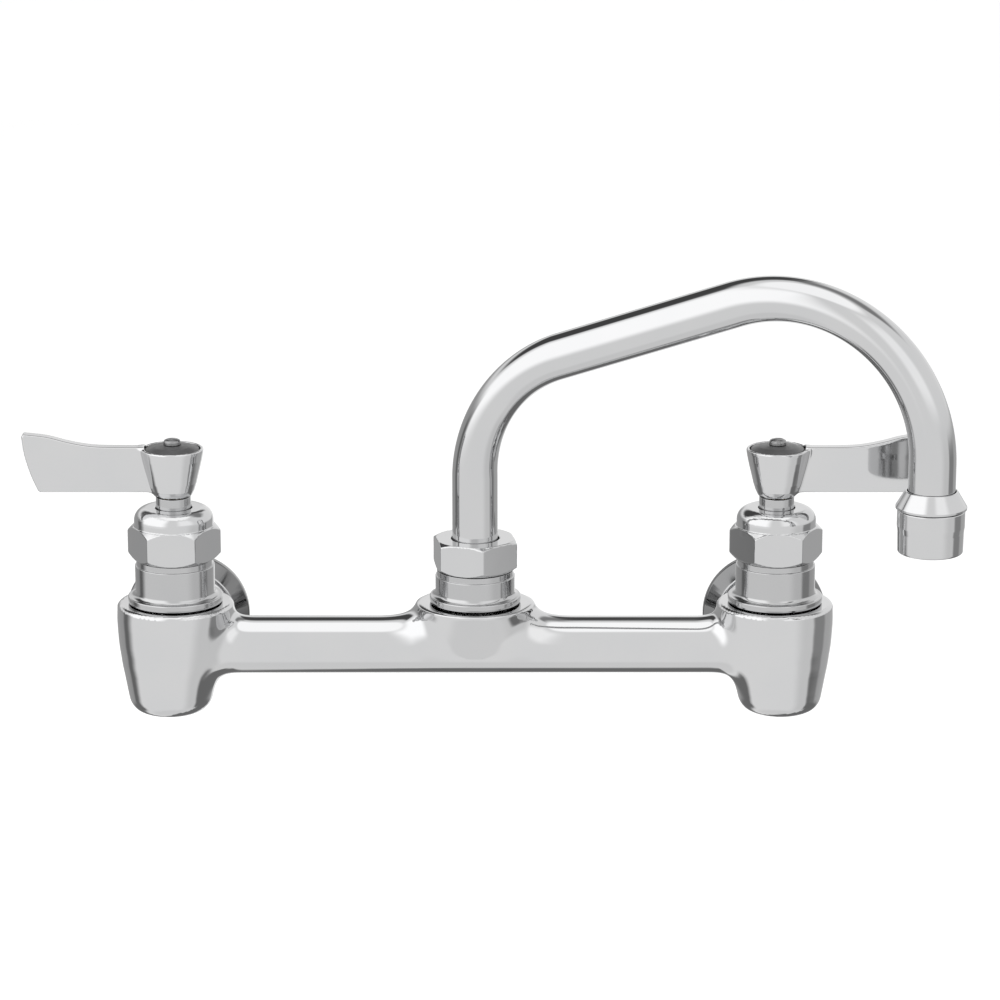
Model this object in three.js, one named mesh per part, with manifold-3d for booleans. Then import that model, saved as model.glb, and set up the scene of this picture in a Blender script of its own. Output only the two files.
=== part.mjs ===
// A commercial wall faucet: one cast body on 8 in centres, two quarter-turn lever valves, a swing spout
// with an aerator, and two flanged wall unions. Millimetres, +Z up, +Y into the wall, -Y towards the user.
// The origin is on the wall, midway between the two supply inlets.

import * as THREE from 'three';
import { mergeVertices } from 'three/addons/utils/BufferGeometryUtils.js';
import Module from 'manifold-3d';

const wasm = await Module();
wasm.setup();

// ---------------------------------------------------------------- driving dimensions

const CENTRES = 203.2; // between the two valves, and between the two inlets
const WALL_TO_VALVES = 52; // wall to the bar and to the valve axes
const BAR_ABOVE_INLETS = 4; // height of the bar's axis over the inlets
const GAP = 0.3; // left between pieces that touch or screw together

// Heights below are over the bar's axis; radii are from the valve, spout or pipe axis.
const BAR = { radius: 9.75, bore: 6 };
const HOUSING = { radius: 19.4, top: 15.3, bottom: -23.6, footRadius: 8.4, lean: 2.2 };
const CHAMBER = { radius: 10.5, floor: -3, threadRadius: 12.5, threadFloor: 8 };
const SUMP = { radius: 7, top: -9, bottom: -18.5, seatHole: 5 };
const INLET = { neckRadius: 11.5, neckEnd: 21.2, bore: 6.5 };
const BOSS = { radius: 19.4, top: 15, flare: 26, wellRadius: 11.5, wellFloor: 5, throat: 6.5 };
const COLLAR = { radius: 13.3, step: 0.5, thread: 11.8 };
const LIP = { radius: 16, relief: 0.5, bottom: 16.2, top: 17.8, fillet: 1.6 };
const BONNET = { flats: 27, turn: 0, bottom: 30.7, faceTop: 42.4, top: 48.3, shoulder: 38, cap: 13.4 };
const CARTRIDGE = { radius: 10.1, bottom: -0.6, bore: 7.8, roof: 9.5, shoulder: 11.5, neck: 5.9, top: 52.1 };
const SPINDLE = { radius: 4.3, base: 7.4, bottom: 5.1, square: 6, squareBottom: 51.2, top: 62 };
const DISC = { radius: 7.5, thickness: 2.3, hub: 1.6, opening: 6, sweep: 78 };
const HUB = { bottom: 52.4, top: 68.8, footRadius: 6.4, rimRadius: 10.5, recess: 9.4, recessFloor: 65.3 };
const BLADE = { length: 50.4, thickness: 4.6, bottom: 53.9, rootTop: 69.4, tipTop: 73.8, heel: 45.3 };
const INDEX = { radius: 9, side: 68.6, top: 70 };
const SCREW = { head: 2.9, headHeight: 2.4, shank: 1.6, length: 14, slot: 0.8 };
const SPOUT_NUT = { flats: 26.2, turn: -20, bottom: 27, faceTop: 36.6, top: 37.6, shoulder: 33.6, bore: 8.1 };
const TUBE = { radius: 7.7, wall: 1.1, bottom: 24.4, end: 64.4 };
const SPOUT = { reach: 157, corner: 91.8, slope: 20.1, riserBend: 46, tipBend: 50, swing: 20, flatten: 0.07 };
const FERRULE = { radius: 8.9, bottom: 12.4, top: 32.2, bore: 5.8, groove: 7.3, grooves: [15.2, 20.2] };
const AERATOR = { bottom: 47.7, top: 62.1, radius: 11, thread: 9.2 };
const ADAPTER = { radius: 11.6, top: 68.3 };
const FLANGE = { radius: 21.9, thickness: 7.5, barrel: 14.5, front: 13.4, sleeve: 9.3, inlet: 9.6, depth: 12 };
const UNION = { flats: 32, back: 14, front: 31, shoulder: 16.4, bore: 11.8, lip: 11.3, lipFront: 18.9 };

const ROUND = 20; // facets round a large turned piece
const FINE = 12; // facets round a small one
const PIPE = 14; // facets round the spout tube

// ---------------------------------------------------------------- materials

const metal = (color, roughness) => new THREE.MeshStandardMaterial({ color, metalness: 1, roughness });
const dull = (color, roughness) => new THREE.MeshStandardMaterial({ color, metalness: 0, roughness });

const FINISH = {
  castChrome: () => metal(0xd2d4d6, 0.2),
  chrome: () => metal(0xd9dbdd, 0.1),
  brass: () => metal(0xc8a34e, 0.35),
  steel: () => metal(0xb9bbbd, 0.3),
  rubber: () => dull(0x1b1b1c, 0.75),
  ceramic: () => dull(0xf0ece2, 0.25),
  plastic: () => dull(0xdedcd4, 0.5),
  darkPlastic: () => dull(0x3a3a3b, 0.4),
};

// ---------------------------------------------------------------- solids

const radians = THREE.MathUtils.degToRad;

/** Merge shared corners and drop the triangles that this flattens. */
function weld(geometry) {
  const bare = geometry.clone();
  for (const name of Object.keys(bare.attributes)) {
    if (name !== 'position') bare.deleteAttribute(name);
  }
  const merged = mergeVertices(bare);
  const kept = [];
  for (let i = 0; i < merged.index.count; i += 3) {
    const corners = [0, 1, 2].map((k) => merged.index.getX(i + k));
    if (new Set(corners).size === 3) kept.push(...corners);
  }
  merged.setIndex(kept);
  return merged;
}

/** Weld a closed geometry and turn its faces outwards. */
function closed(geometry) {
  const solid = weld(geometry);
  const [a, b, c] = [new THREE.Vector3(), new THREE.Vector3(), new THREE.Vector3()];
  const at = solid.getAttribute('position');
  let volume = 0;
  for (let i = 0; i < solid.index.count; i += 3) {
    a.fromBufferAttribute(at, solid.index.getX(i));
    b.fromBufferAttribute(at, solid.index.getX(i + 1));
    c.fromBufferAttribute(at, solid.index.getX(i + 2));
    volume += a.dot(b.cross(c));
  }
  if (volume < 0) solid.setIndex(Array.from(solid.index.array).reverse());
  return solid;
}

const toManifold = (geometry) => new wasm.Manifold(new wasm.Mesh({
  numProp: 3,
  vertProperties: new Float32Array(geometry.getAttribute('position').array),
  triVerts: new Uint32Array(geometry.index.array),
}));

function fromManifold(manifold) {
  const mesh = manifold.getMesh();
  const geometry = new THREE.BufferGeometry();
  const corners = new Float32Array(mesh.numVert * 3);
  for (let i = 0; i < mesh.numVert; i += 1) {
    corners.set(mesh.vertProperties.subarray(i * mesh.numProp, i * mesh.numProp + 3), i * 3);
  }
  geometry.setAttribute('position', new THREE.BufferAttribute(corners, 3));
  geometry.setIndex(Array.from(mesh.triVerts));
  return geometry;
}

const combine = (how) => (first, ...rest) => fromManifold(
  rest.reduce((sum, next) => sum[how](toManifold(next)), toManifold(first)),
);
const join = combine('add');
const cut = combine('subtract');
const common = combine('intersect');

/** Turn a profile of [radius, height] pairs round the Z axis. */
function revolve(profile, segments = ROUND) {
  const points = profile.map(([radius, height]) => new THREE.Vector2(radius, height));
  if (profile[0][0] > 0) points.push(points[0].clone());
  return closed(new THREE.LatheGeometry(points, segments).rotateX(Math.PI / 2));
}

const rod = (radius, low, high, segments = ROUND) => revolve(
  [[0, low], [radius, low], [radius, high], [0, high]],
  segments,
);

const ring = (inner, outer, low, high, segments = ROUND) => revolve(
  [[inner, low], [outer, low], [outer, high], [inner, high]],
  segments,
);

/** A torus of the given middle radius and cord radius, at one height. */
const oRing = (middle, cord, height) => closed(
  new THREE.TorusGeometry(middle, cord, 5, FINE).translate(0, 0, height),
);

/** Points along an arc in a profile: angles in degrees from the outward direction. */
function arc(centreRadius, centreHeight, radius, from, to, steps) {
  return Array.from({ length: steps + 1 }, (_, i) => {
    const angle = radians(from + ((to - from) * i) / steps);
    return [centreRadius + radius * Math.cos(angle), centreHeight + radius * Math.sin(angle)];
  });
}

function prism(shape, low, high, curveSegments = 12) {
  const geometry = new THREE.ExtrudeGeometry(shape, { depth: high - low, bevelEnabled: false, curveSegments });
  return closed(geometry.translate(0, 0, low));
}

/** A hexagon with two flats facing front and back, then turned by some degrees. */
function hexagon(acrossFlats, turn = 0) {
  const corner = acrossFlats / 2 / Math.cos(Math.PI / 6);
  const points = Array.from({ length: 6 }, (_, i) => {
    const angle = radians(60 * i + turn);
    return new THREE.Vector2(corner * Math.cos(angle), corner * Math.sin(angle));
  });
  return new THREE.Shape(points);
}

const square = (side) => new THREE.Shape([
  new THREE.Vector2(-side / 2, -side / 2),
  new THREE.Vector2(side / 2, -side / 2),
  new THREE.Vector2(side / 2, side / 2),
  new THREE.Vector2(-side / 2, side / 2),
]);

const box = (width, depth, height, x, y, z) => closed(
  new THREE.BoxGeometry(width, depth, height).translate(x, y, z),
);

/** Skin over rings of corners; without ends the last ring joins the first. */
function loft(rings, withEnds = true) {
  const around = rings[0].length;
  const corners = rings.flat().flatMap((point) => point.toArray());
  const faces = [];
  const spans = withEnds ? rings.length - 1 : rings.length;
  for (let i = 0; i < spans; i += 1) {
    const next = (i + 1) % rings.length;
    for (let k = 0; k < around; k += 1) {
      const [a, b] = [i * around + k, i * around + ((k + 1) % around)];
      const [c, d] = [next * around + k, next * around + ((k + 1) % around)];
      faces.push(a, b, d, a, d, c);
    }
  }
  if (withEnds) {
    for (const [end, flip] of [[0, true], [rings.length - 1, false]]) {
      const hub = corners.length / 3;
      const middle = rings[end].reduce((sum, point) => sum.add(point), new THREE.Vector3());
      corners.push(...middle.divideScalar(around).toArray());
      for (let k = 0; k < around; k += 1) {
        const [a, b] = [end * around + k, end * around + ((k + 1) % around)];
        faces.push(...(flip ? [hub, b, a] : [hub, a, b]));
      }
    }
  }
  const geometry = new THREE.BufferGeometry();
  geometry.setAttribute('position', new THREE.Float32BufferAttribute(corners, 3));
  geometry.setIndex(faces);
  return closed(geometry);
}

/** A level oval of corners for a loft. */
function oval(height, halfWidth, halfDepth, shift = 0, corners = ROUND) {
  return Array.from({ length: corners }, (_, i) => {
    const angle = (2 * Math.PI * i) / corners;
    return new THREE.Vector3(shift + halfWidth * Math.cos(angle), halfDepth * Math.sin(angle), height);
  });
}

/** Lay an upright piece along +Y, so that its height becomes its distance in front of the wall. */
const fromWall = (geometry) => geometry.rotateX(Math.PI / 2);

// ---------------------------------------------------------------- cast body

/** One valve housing: a tapered bowl that leans outwards towards its foot. */
function housing(side) {
  const outline = [
    [HOUSING.radius - 0.8, HOUSING.top],
    [HOUSING.radius, HOUSING.top - 0.8],
    [HOUSING.radius - 0.6, 6.5],
    [HOUSING.radius - 2, -3],
    [HOUSING.radius - 3.7, -11],
    [HOUSING.radius - 5.4, -19.2],
    [HOUSING.radius - 6.8, -21.4],
    [HOUSING.footRadius, HOUSING.bottom + 0.4],
    [HOUSING.footRadius - 2, HOUSING.bottom],
  ];
  const span = HOUSING.top - HOUSING.bottom;
  return loft(outline.map(([radius, height]) => {
    const lean = HOUSING.lean * Math.sin((Math.PI / 2) * ((HOUSING.top - height) / span));
    return oval(height, radius, radius, side * lean);
  }));
}

/** The hollowed shoulder where the bar grows into a housing, as rings of corners along the bar. */
function shoulder(side) {
  const stations = [
    { out: 23, depth: BAR.radius, top: BAR.radius, bottom: -BAR.radius },
    { out: 19, depth: 10, top: 10.4, bottom: -10 },
    { out: 16.8, depth: 10.9, top: 12.2, bottom: -11.5 },
    { out: 14.4, depth: 12, top: 14.4, bottom: -13.8 },
    { out: 12, depth: 12, top: 14.6, bottom: -16 },
  ];
  return loft(stations.map(({ out, depth, top, bottom }) => (
    oval(0, depth, (top - bottom) / 2).map(({ x, y }) => (
      new THREE.Vector3(-side * out, x, y + (top + bottom) / 2)
    ))
  )));
}

/** The round boss under the spout: it runs straight down into the bar in front and flares along it. */
function centreBoss() {
  const shoulders = [1, 0.75, 0.5, 0.25, 0].map((share) => {
    const width = THREE.MathUtils.lerp(BOSS.flare, BOSS.radius, share ** 0.8);
    const depth = THREE.MathUtils.lerp(BAR.radius - 0.1, BOSS.radius, share);
    return oval((BOSS.top - 0.7) * share, width, depth);
  });
  return loft([oval(BOSS.top, BOSS.radius - 0.7, BOSS.radius - 0.7), ...shoulders]);
}

/** The slanting way from an inlet neck down to the sump under a valve seat. */
function inletPassage() {
  const start = new THREE.Vector3(0, WALL_TO_VALVES - 33, -6);
  const end = new THREE.Vector3(0, 0, -14.6);
  const along = end.clone().sub(start);
  const upright = new THREE.Vector3(0, 0, 1);
  const passage = rod(4.4, 0, along.length(), FINE);
  passage.applyQuaternion(new THREE.Quaternion().setFromUnitVectors(upright, along.clone().normalize()));
  return passage.translate(start.x, start.y, start.z);
}

function bodyCasting() {
  const half = CENTRES / 2;
  const sideways = (geometry) => geometry.rotateY(Math.PI / 2);
  const outside = [sideways(rod(BAR.radius, -half, half)), centreBoss()];
  const inside = [
    sideways(rod(BAR.bore, 8 - half, half - 8, FINE)),
    rod(BOSS.wellRadius, BOSS.wellFloor, BOSS.top + 1),
    rod(BOSS.throat, -4, BOSS.wellFloor + 1, FINE),
  ];
  for (const side of [-1, 1]) {
    const place = (geometry) => geometry.translate(side * half, 0, 0);
    const inletRod = (radius, back, front) => fromWall(rod(radius, back, front, FINE))
      .translate(0, WALL_TO_VALVES, -BAR_ABOVE_INLETS);
    outside.push(
      place(housing(side)),
      place(shoulder(side)),
      place(inletRod(INLET.neckRadius, INLET.neckEnd, WALL_TO_VALVES - 8)),
    );
    inside.push(
      place(rod(CHAMBER.radius, CHAMBER.floor, HOUSING.top + 1)),
      place(rod(CHAMBER.threadRadius, CHAMBER.threadFloor, HOUSING.top + 1)),
      place(rod(SUMP.seatHole, SUMP.top - 1, CHAMBER.floor + 1, FINE)),
      place(rod(SUMP.radius, SUMP.bottom, SUMP.top, FINE)),
      place(inletRod(INLET.bore, INLET.neckEnd - 1, 35)),
      place(inletPassage()),
    );
  }
  return cut(join(...outside), ...inside);
}

// ---------------------------------------------------------------- valves

/** The outline that the valve collars and the spout collar share, from the body up to their nut. */
const collarOutline = (nutBottom, radius, foot) => [
  [foot - LIP.relief, HOUSING.top + GAP],
  [foot, LIP.bottom],
  [foot, LIP.top],
  ...arc(radius + LIP.fillet, LIP.top + LIP.fillet, LIP.fillet, -90, -180, 2),
  [radius, nutBottom - 2.4],
  [radius - COLLAR.step, nutBottom - 2.1],
  [radius - COLLAR.step, nutBottom - GAP],
];

function valveCollar() {
  const bore = CARTRIDGE.radius + GAP;
  const threadTop = BONNET.shoulder - 2.8;
  return revolve([
    [bore, CHAMBER.threadFloor + GAP],
    [CHAMBER.threadRadius - GAP, CHAMBER.threadFloor + GAP],
    [CHAMBER.threadRadius - GAP, HOUSING.top + GAP],
    ...collarOutline(BONNET.bottom, COLLAR.radius, LIP.radius),
    [COLLAR.thread, BONNET.bottom - GAP],
    [COLLAR.thread, threadTop],
    [bore, threadTop],
  ]);
}

/** A hexagon nut with its corners chamfered off at both ends, and the given turned outline on top. */
function hexNut({ flats, turn, bottom, faceTop }, chamfer, crown) {
  const corner = flats / 2 / Math.cos(Math.PI / 6) + 0.02;
  const top = crown.at(-1)[1];
  const limits = revolve([
    [0, bottom],
    [flats / 2 - 0.2, bottom],
    [corner, bottom + chamfer],
    [corner, faceTop - chamfer],
    ...crown,
    [0, top],
  ]);
  return common(prism(hexagon(flats, turn), bottom - 1, top + 1), limits);
}

/** The bonnet nut: a hexagon under a round-shouldered cap that is nearly as wide. */
function bonnetNut() {
  const round = 4.2;
  const crown = [
    [BONNET.cap, BONNET.faceTop],
    ...arc(BONNET.cap - round, BONNET.top - round, round, 0, 90, 4),
  ];
  return cut(
    hexNut(BONNET, 2, crown),
    rod(COLLAR.thread + GAP, BONNET.bottom - 1, BONNET.shoulder),
    rod(CARTRIDGE.neck + GAP, BONNET.shoulder - 1, BONNET.top + 1, FINE),
  );
}

function cartridgeBody() {
  const shoulderBottom = BONNET.shoulder - 2.5;
  const spindleBore = SPINDLE.radius + GAP;
  const barrel = revolve([
    [CARTRIDGE.bore, CARTRIDGE.bottom],
    [CARTRIDGE.radius, CARTRIDGE.bottom],
    [CARTRIDGE.radius, shoulderBottom],
    [CARTRIDGE.shoulder, shoulderBottom],
    [CARTRIDGE.shoulder, BONNET.shoulder - GAP],
    [CARTRIDGE.neck, BONNET.shoulder - GAP],
    [CARTRIDGE.neck, CARTRIDGE.top],
    [spindleBore, CARTRIDGE.top],
    [spindleBore, CARTRIDGE.roof],
    [CARTRIDGE.bore, CARTRIDGE.roof],
  ], FINE);
  const window = box(3 * CARTRIDGE.radius, 8.5, 5.6, 0, 0, 4.9);
  return cut(barrel, window);
}

/** A ceramic disc with two opposite sector openings, centred on the given direction. */
function ceramicDisc(bottom, direction) {
  const disc = new THREE.Shape().absarc(0, 0, DISC.radius, 0, 2 * Math.PI);
  for (const middle of [direction, direction + 180]) {
    const [from, to] = [radians(middle - DISC.sweep / 2), radians(middle + DISC.sweep / 2)];
    const opening = new THREE.Path();
    opening.absarc(0, 0, DISC.opening, from, to);
    opening.absarc(0, 0, DISC.hub + 0.6, to, from, true);
    opening.closePath();
    disc.holes.push(opening);
  }
  return prism(disc, bottom, bottom + DISC.thickness, 4);
}

const seatGasket = () => ring(5.2, 8.6, CHAMBER.floor + GAP, CARTRIDGE.bottom - GAP, FINE);

const FIXED_DISC_BOTTOM = CARTRIDGE.bottom + GAP;
const MOVING_DISC_BOTTOM = FIXED_DISC_BOTTOM + DISC.thickness + GAP;

function spindle() {
  const groove = { low: 40, high: 41.9, radius: 3.2 };
  const shaft = revolve([
    [0, SPINDLE.bottom],
    [SPINDLE.base, SPINDLE.bottom],
    [SPINDLE.base, CARTRIDGE.roof - GAP],
    [SPINDLE.radius, CARTRIDGE.roof - GAP],
    [SPINDLE.radius, groove.low],
    [groove.radius, groove.low],
    [groove.radius, groove.high],
    [SPINDLE.radius, groove.high],
    [SPINDLE.radius, SPINDLE.squareBottom],
    [0, SPINDLE.squareBottom],
  ], FINE);
  const drive = prism(square(SPINDLE.square), SPINDLE.squareBottom - 1, SPINDLE.top);
  const screwHole = rod(SCREW.shank + GAP, SPINDLE.top - 8, SPINDLE.top + 1, FINE / 2);
  const bothEnds = 2 * SPINDLE.base + 1;
  const sideFlow = box(bothEnds, 6, 1.8, 0, 0, SPINDLE.bottom + 0.8);
  const tongue = box(3, 5.4, 1.9, 0, 0, SPINDLE.bottom + 0.85);
  return cut(join(shaft, drive), cut(sideFlow, tongue), screwHole);
}

// ---------------------------------------------------------------- lever handles

/** The blade's outline seen from the front: level heel, swept tip and rising top edge. */
function bladeSide() {
  const shape = new THREE.Shape();
  shape.moveTo(0, BLADE.bottom);
  shape.lineTo(BLADE.heel - 1.2, BLADE.bottom);
  shape.quadraticCurveTo(BLADE.heel - 0.1, BLADE.bottom, BLADE.heel + 0.3, BLADE.bottom + 1.1);
  shape.quadraticCurveTo(BLADE.length - 1.6, BLADE.bottom + 8, BLADE.length, BLADE.tipTop - 0.9);
  shape.quadraticCurveTo(BLADE.length, BLADE.tipTop, BLADE.length - 1, BLADE.tipTop);
  shape.bezierCurveTo(38, BLADE.tipTop - 1.2, 32, BLADE.rootTop + 0.2, 20, BLADE.rootTop);
  shape.lineTo(0, BLADE.rootTop);
  return shape;
}

/** The blade's outline seen from above: flat, with a flare where it grows out of the hub. */
function bladePlan() {
  const half = BLADE.thickness / 2;
  const edge = new THREE.CubicBezierCurve(
    new THREE.Vector2(5, half + 2.4),
    new THREE.Vector2(9.5, half + 1.9),
    new THREE.Vector2(10.5, half),
    new THREE.Vector2(16, half),
  ).getPoints(4);
  const upper = [new THREE.Vector2(2, half + 2.4), ...edge, new THREE.Vector2(BLADE.length - 0.6, half)];
  const tip = [new THREE.Vector2(BLADE.length, half - 0.6)];
  const half1 = [...upper, ...tip];
  const half2 = half1.map(({ x, y }) => new THREE.Vector2(x, -y)).reverse();
  return new THREE.Shape([...half1, ...half2]);
}

/** A lever handle with its blade along +X. */
function leverHandle() {
  const elevation = prism(bladeSide(), -BLADE.thickness * 2, BLADE.thickness * 2, 5).rotateX(Math.PI / 2);
  const plan = prism(bladePlan(), BLADE.bottom - 1, BLADE.tipTop + 1);
  const hub = revolve([
    [0, HUB.bottom],
    [HUB.footRadius - 0.3, HUB.bottom],
    [HUB.footRadius + 0.9, HUB.bottom + 2.2],
    [HUB.rimRadius - 1.85, HUB.top - 9.3],
    [HUB.rimRadius - 0.5, HUB.top - 3.7],
    ...arc(HUB.rimRadius - 0.7, HUB.top - 0.7, 0.7, 0, 90, 2),
    [0, HUB.top],
  ]);
  const recess = revolve([
    [0, HUB.recessFloor],
    [HUB.recess - 1, HUB.recessFloor],
    [HUB.recess - 0.3, HUB.recessFloor + 0.7],
    [HUB.recess, HUB.top - 0.3],
    [HUB.recess, BLADE.tipTop],
    [0, BLADE.tipTop],
  ]);
  const socket = prism(square(SPINDLE.square + 2 * GAP), HUB.bottom - 1, SPINDLE.top + GAP);
  const screwHole = rod(SCREW.shank + GAP, SPINDLE.top, HUB.recessFloor + 1, FINE / 2);
  return cut(join(hub, common(elevation, plan)), recess, socket, screwHole);
}

/** The dished disc that fills the hub's recess round the screw. */
const indexDisc = () => revolve([
  [SCREW.shank + GAP, HUB.recessFloor + GAP],
  [INDEX.radius - 0.6, HUB.recessFloor + GAP],
  [INDEX.radius, HUB.recessFloor + 1],
  [INDEX.radius, INDEX.side],
  [INDEX.radius - 2.4, INDEX.side + 0.8],
  [SCREW.head + 0.5, INDEX.top],
  [SCREW.shank + GAP, INDEX.top],
], FINE);

function handleScrew() {
  const seat = INDEX.top + GAP;
  const body = revolve([
    [0, seat - SCREW.length],
    [SCREW.shank, seat - SCREW.length],
    [SCREW.shank, seat],
    [SCREW.head, seat],
    [SCREW.head, seat + 0.7],
    [SCREW.head * 0.72, seat + SCREW.headHeight - 0.25],
    [0, seat + SCREW.headHeight],
  ], FINE);
  const slot = box(3 * SCREW.head, SCREW.slot, 1.4, 0, 0, seat + SCREW.headHeight);
  return cut(body, slot);
}

// ---------------------------------------------------------------- wall unions

/** The flanged female inlet, drawn from the wall outwards. */
function wallFlange() {
  return fromWall(revolve([
    [FLANGE.inlet, 0],
    [FLANGE.radius, 0],
    [FLANGE.radius, 3.2],
    [FLANGE.radius - 3.8, FLANGE.thickness - 0.6],
    [FLANGE.radius - 4.8, FLANGE.thickness],
    ...arc(FLANGE.barrel + 1.4, FLANGE.thickness + 1.4, 1.4, -90, -180, 1),
    [FLANGE.barrel, FLANGE.front],
    [FLANGE.sleeve, FLANGE.front],
    [FLANGE.sleeve, UNION.shoulder + GAP],
    [UNION.lip, UNION.shoulder + GAP],
    [UNION.lip, UNION.lipFront],
    [INLET.bore, UNION.lipFront],
    [INLET.bore, FLANGE.depth + 1.6],
    [FLANGE.inlet, FLANGE.depth],
  ]));
}

function unionNut() {
  const corner = UNION.flats / 2 / Math.cos(Math.PI / 6);
  const limits = revolve([
    [0, UNION.back],
    [corner - 1.6, UNION.back],
    [corner + 0.02, UNION.back + 1.2],
    [corner + 0.02, UNION.front - 1.2],
    [corner - 1.6, UNION.front],
    [0, UNION.front],
  ]);
  const nut = common(prism(hexagon(UNION.flats), UNION.back - 1, UNION.front + 1), limits);
  return fromWall(cut(
    nut,
    rod(UNION.bore, UNION.shoulder, UNION.front + 1),
    rod(FLANGE.sleeve + GAP, UNION.back - 1, UNION.shoulder + 1),
  ));
}

const unionWasher = () => fromWall(
  ring(INLET.bore + 1, UNION.lip, UNION.lipFront + GAP, INLET.neckEnd - GAP, FINE),
);

// ---------------------------------------------------------------- spout

/** The bent tube's middle line in its own XZ plane: stations with their direction and bend share. */
function spoutStations() {
  const { reach, corner, slope, riserBend, tipBend } = SPOUT;
  const tilt = radians(slope);
  const tipCorner = corner + reach * Math.tan(tilt);
  const riserTurn = Math.PI / 2 - tilt;
  const tipTurn = Math.PI / 2 + tilt;
  const riserTop = corner - riserBend * Math.tan(riserTurn / 2);
  const tipTop = tipCorner - tipBend * Math.tan(tipTurn / 2);
  const stations = [{ x: 0, z: TUBE.bottom, heading: Math.PI / 2, bend: 0 }];
  const addBend = (centreX, centreZ, radius, from, turn, steps) => {
    for (let i = 0; i <= steps; i += 1) {
      const share = i / steps;
      const heading = from - turn * share;
      const x = centreX - radius * Math.sin(heading);
      const z = centreZ + radius * Math.cos(heading);
      stations.push({ x, z, heading, bend: Math.sin(Math.PI * share) ** 0.6 });
    }
  };
  addBend(riserBend, riserTop, riserBend, Math.PI / 2, riserTurn, 7);
  addBend(reach - tipBend, tipTop, tipBend, tilt, tipTurn, 11);
  stations.push({ x: reach, z: TUBE.end, heading: -Math.PI / 2, bend: 0 });
  return stations;
}

/** A ring of corners round a station; a bend flattens the tube in its own plane. */
function tubeRing({ x, z, heading, bend }, radius, corners) {
  const flat = 1 - SPOUT.flatten * bend;
  return Array.from({ length: corners }, (_, i) => {
    const angle = (2 * Math.PI * i) / corners;
    const inPlane = radius * flat * Math.cos(angle);
    const across = radius * (2 - flat) * Math.sin(angle);
    return new THREE.Vector3(x - inPlane * Math.sin(heading), across, z + inPlane * Math.cos(heading));
  });
}

function spoutTube() {
  const stations = spoutStations();
  const outer = stations.map((station) => tubeRing(station, TUBE.radius, PIPE));
  const inner = stations.map((station) => tubeRing(station, TUBE.radius - TUBE.wall, PIPE));
  return loft([...outer, ...inner.reverse()], false);
}

function spoutCollar() {
  const bore = FERRULE.radius + GAP;
  return revolve([
    [BOSS.throat, BOSS.wellFloor + GAP],
    [BOSS.wellRadius - GAP, BOSS.wellFloor + GAP],
    [BOSS.wellRadius - GAP, HOUSING.top + GAP],
    ...collarOutline(SPOUT_NUT.bottom, COLLAR.radius, LIP.radius - 0.6),
    [COLLAR.thread - 0.5, SPOUT_NUT.bottom - GAP],
    [COLLAR.thread - 0.5, FERRULE.top],
    [bore, FERRULE.top],
    [bore, FERRULE.bottom - GAP],
    [BOSS.throat, FERRULE.bottom - GAP - 2],
  ]);
}

function spoutNut() {
  const crown = [[SPOUT_NUT.flats / 2 + 0.1, SPOUT_NUT.top]];
  return cut(
    hexNut(SPOUT_NUT, 1.1, crown),
    rod(COLLAR.thread - 0.5 + GAP, SPOUT_NUT.bottom - 1, SPOUT_NUT.shoulder),
    rod(SPOUT_NUT.bore, SPOUT_NUT.shoulder - 1, SPOUT_NUT.top + 1, FINE),
  );
}

function spoutFerrule() {
  const grooves = FERRULE.grooves.flatMap((low) => [
    [FERRULE.radius, low],
    [FERRULE.groove, low],
    [FERRULE.groove, low + 2.1],
    [FERRULE.radius, low + 2.1],
  ]);
  return revolve([
    [FERRULE.bore, FERRULE.bottom],
    [FERRULE.radius, FERRULE.bottom],
    ...grooves,
    [FERRULE.radius, FERRULE.top],
    [TUBE.radius + GAP, FERRULE.top],
    [TUBE.radius + GAP, TUBE.bottom - GAP],
    [FERRULE.bore, TUBE.bottom - GAP],
  ], FINE);
}

const slipWasher = () => ring(TUBE.radius + GAP, 10.9, FERRULE.top + GAP, SPOUT_NUT.shoulder - GAP, FINE);

// ---------------------------------------------------------------- aerator

function aeratorAdapter() {
  const bore = TUBE.radius + GAP;
  return revolve([
    [TUBE.radius - TUBE.wall, 55.5],
    [AERATOR.thread, 55.5],
    [AERATOR.thread, AERATOR.top + GAP],
    [ADAPTER.radius, AERATOR.top + GAP],
    [ADAPTER.radius, 63.2],
    [bore + 0.5, ADAPTER.top],
    [bore, ADAPTER.top],
    [bore, TUBE.end - GAP],
    [TUBE.radius - TUBE.wall, TUBE.end - GAP],
  ]);
}

const aeratorShell = () => revolve([
  [8.2, AERATOR.bottom],
  [AERATOR.radius - 0.7, AERATOR.bottom],
  [AERATOR.radius, AERATOR.bottom + 0.7],
  [AERATOR.radius, AERATOR.top - 1.2],
  [AERATOR.radius - 0.7, AERATOR.top],
  [AERATOR.thread + GAP, AERATOR.top],
  [AERATOR.thread + GAP, AERATOR.bottom + 2.4],
  [8.2, AERATOR.bottom + 2.4],
]);

/** The flow former: an outer ring, a hub and six spokes. */
function aeratorInsert() {
  const [low, high] = [AERATOR.bottom + 2.7, 53.4];
  const rim = new THREE.Shape().absarc(0, 0, AERATOR.thread, 0, 2 * Math.PI);
  const count = 6;
  for (let i = 0; i < count; i += 1) {
    const [from, to] = [radians((360 / count) * i + 6), radians((360 / count) * (i + 1) - 6)];
    const opening = new THREE.Path();
    opening.absarc(0, 0, 7.6, from, to);
    opening.absarc(0, 0, 3, to, from, true);
    opening.closePath();
    rim.holes.push(opening);
  }
  return prism(rim, low, high, 3);
}

const aeratorGasket = () => ring(7, AERATOR.thread, 53.7, 55.2, FINE);

// ---------------------------------------------------------------- assembly

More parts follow.
